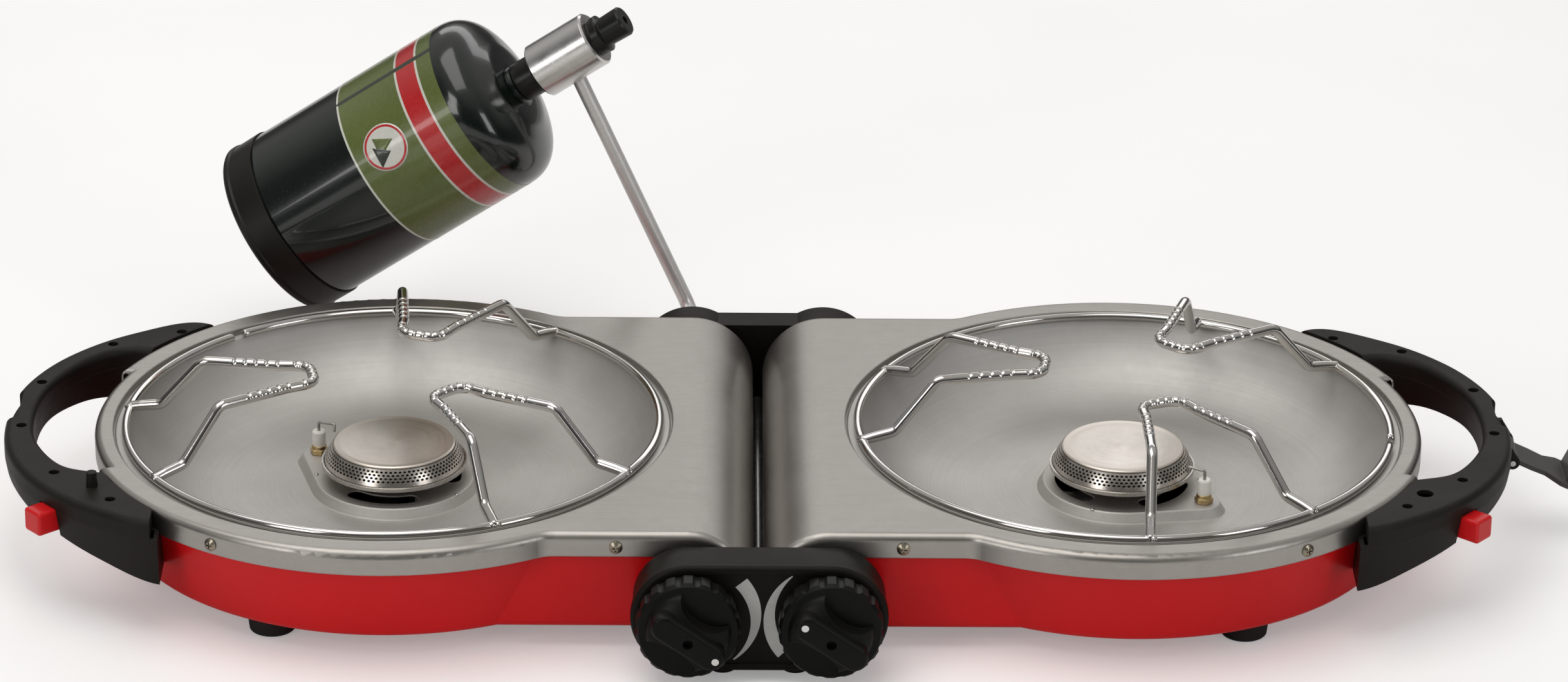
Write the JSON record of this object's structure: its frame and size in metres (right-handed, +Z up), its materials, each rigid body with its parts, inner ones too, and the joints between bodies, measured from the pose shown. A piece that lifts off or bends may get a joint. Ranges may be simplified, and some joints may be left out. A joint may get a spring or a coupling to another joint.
{
  "type": "folding two-burner camp stove",
  "caption": "Folding two-burner gas camp stove with round steel bowls, wire pan supports, grip handles, a centre control spine and a regulator arm carrying a disposable gas cylinder.",
  "frame": {"origin": "on the ground, under the middle of the centre spine, on the underside of its rubber foot", "axes": "+X along the open stove towards the latch handle, +Y to the rear where the regulator arm is, +Z up"},
  "size_m": [0.8095, 0.4708, 0.214],
  "materials": {
    "deck_steel": "brushed satin",
    "bowl_steel": "satin, spun",
    "shell_red": "semi-gloss paint",
    "black_plastic": "fine moulded grain",
    "panel_black": "satin",
    "spine_black": "satin",
    "zinc": "plated",
    "rubber": "matte",
    "burner_steel": "machined",
    "ceramic": "glazed ceramic",
    "lead_sleeve": "silicone sleeve",
    "button_red": "semi-gloss",
    "chrome_wire": "bright plated",
    "latch_grey": "satin",
    "arm_steel": "bright drawn tube",
    "regulator_chrome": "satin turned",
    "cylinder_green": "gloss enamel",
    "boot_black": "semi-gloss",
    "brass": "machined"
  },
  "bodies": {
    "spine": {"spine_beam": "spine_black", "front_housing": "black_plastic", "control_panel": "panel_black", "rear_housing": "black_plastic", "spine_feet": "rubber", "spine_screws": "zinc", "manifold_tube": "arm_steel", "gas_valve_left": "brass", "gas_valve_right": "brass", "gas_inlet_port": "brass"},
    "half_left": {"top_plate_left": "deck_steel", "drip_bowl_left": "bowl_steel", "lower_shell_left": "shell_red", "handle_upper_left": "black_plastic", "handle_lower_left": "black_plastic", "handle_screws_left": "zinc", "feet_left": "rubber", "skirt_screws_left": "zinc", "hinge_brackets_left": "zinc", "igniter_unit_left": "black_plastic", "burner_body_left": "burner_steel", "burner_ring_left": "burner_steel", "burner_cap_left": "burner_steel", "mixer_tube_left": "burner_steel", "electrode_left": "ceramic", "electrode_wire_left": "zinc", "ignition_lead_left": "lead_sleeve"},
    "half_right": {"top_plate_right": "deck_steel", "drip_bowl_right": "bowl_steel", "lower_shell_right": "shell_red", "handle_upper_right": "black_plastic", "handle_lower_right": "black_plastic", "handle_screws_right": "zinc", "feet_right": "rubber", "skirt_screws_right": "zinc", "hinge_brackets_right": "zinc", "igniter_unit_right": "black_plastic", "burner_body_right": "burner_steel", "burner_ring_right": "burner_steel", "burner_cap_right": "burner_steel", "mixer_tube_right": "burner_steel", "electrode_right": "ceramic", "electrode_wire_right": "zinc", "ignition_lead_right": "lead_sleeve", "latch_pin": "zinc"},
    "knob_left": {"knob_left": "black_plastic"},
    "knob_right": {"knob_right": "black_plastic"},
    "igniter_button_left": {"igniter_button_left": "button_red"},
    "igniter_button_right": {"igniter_button_right": "button_red"},
    "pan_support_left": {"pan_support_left": "chrome_wire"},
    "pan_support_right": {"pan_support_right": "chrome_wire"},
    "latch": {"latch_hook": "latch_grey"},
    "regulator_arm": {"arm_tube": "arm_steel", "arm_connector": "black_plastic", "regulator_body": "regulator_chrome", "regulator_collar": "black_plastic", "regulator_cap": "black_plastic"},
    "gas_cylinder": {"cylinder_body": "cylinder_green", "cylinder_boot": "boot_black", "cylinder_valve": "brass"}
  },
  "joints": [
    {"name": "fold_left", "type": "hinge", "parent": "spine", "child": "half_left", "pos_m": [-0.035, 0, 0.0335], "axis": [0, -1, 0], "range_deg": [-90, 0]},
    {"name": "fold_right", "type": "hinge", "parent": "spine", "child": "half_right", "pos_m": [0.035, 0, 0.0335], "axis": [0, 1, 0], "range_deg": [-90, 0]},
    {"name": "knob_left_turn", "type": "hinge", "parent": "spine", "child": "knob_left", "pos_m": [-0.035, -0.163, 0.0335], "axis": [0, -1, 0], "range_deg": [0, 100]},
    {"name": "knob_right_turn", "type": "hinge", "parent": "spine", "child": "knob_right", "pos_m": [0.035, -0.163, 0.0335], "axis": [0, -1, 0], "range_deg": [0, 100]},
    {"name": "igniter_left_press", "type": "slide", "parent": "half_left", "child": "igniter_button_left", "axis": [0.7557, 0.6549, 0], "range_m": [0, 0.004]},
    {"name": "igniter_right_press", "type": "slide", "parent": "half_right", "child": "igniter_button_right", "axis": [-0.7557, 0.6549, 0], "range_m": [0, 0.004]},
    {"name": "pan_support_left_turn", "type": "hinge", "parent": "half_left", "child": "pan_support_left", "pos_m": [-0.1875, 0, 0.066], "axis": [0, 0, -1], "range_deg": [-20, 100]},
    {"name": "pan_support_right_turn", "type": "hinge", "parent": "half_right", "child": "pan_support_right", "pos_m": [0.1875, 0, 0.066], "axis": [0, 0, 1], "range_deg": [-18, 102]},
    {"name": "latch_swing", "type": "hinge", "parent": "half_right", "child": "latch", "pos_m": [0.3892, 0.016, 0.044], "axis": [0, 1, 0], "range_deg": [-115, 0]},
    {"name": "arm_swivel", "type": "hinge", "parent": "spine", "child": "regulator_arm", "pos_m": [-0.035, 0.177, 0.0335], "axis": [0, 1, 0], "range_deg": [-7, 30]},
    {"name": "cylinder_unscrew", "type": "slide", "parent": "regulator_arm", "child": "gas_cylinder", "axis": [-0.8139, 0.1132, -0.5699], "range_m": [0, 0.022]}
  ]
}
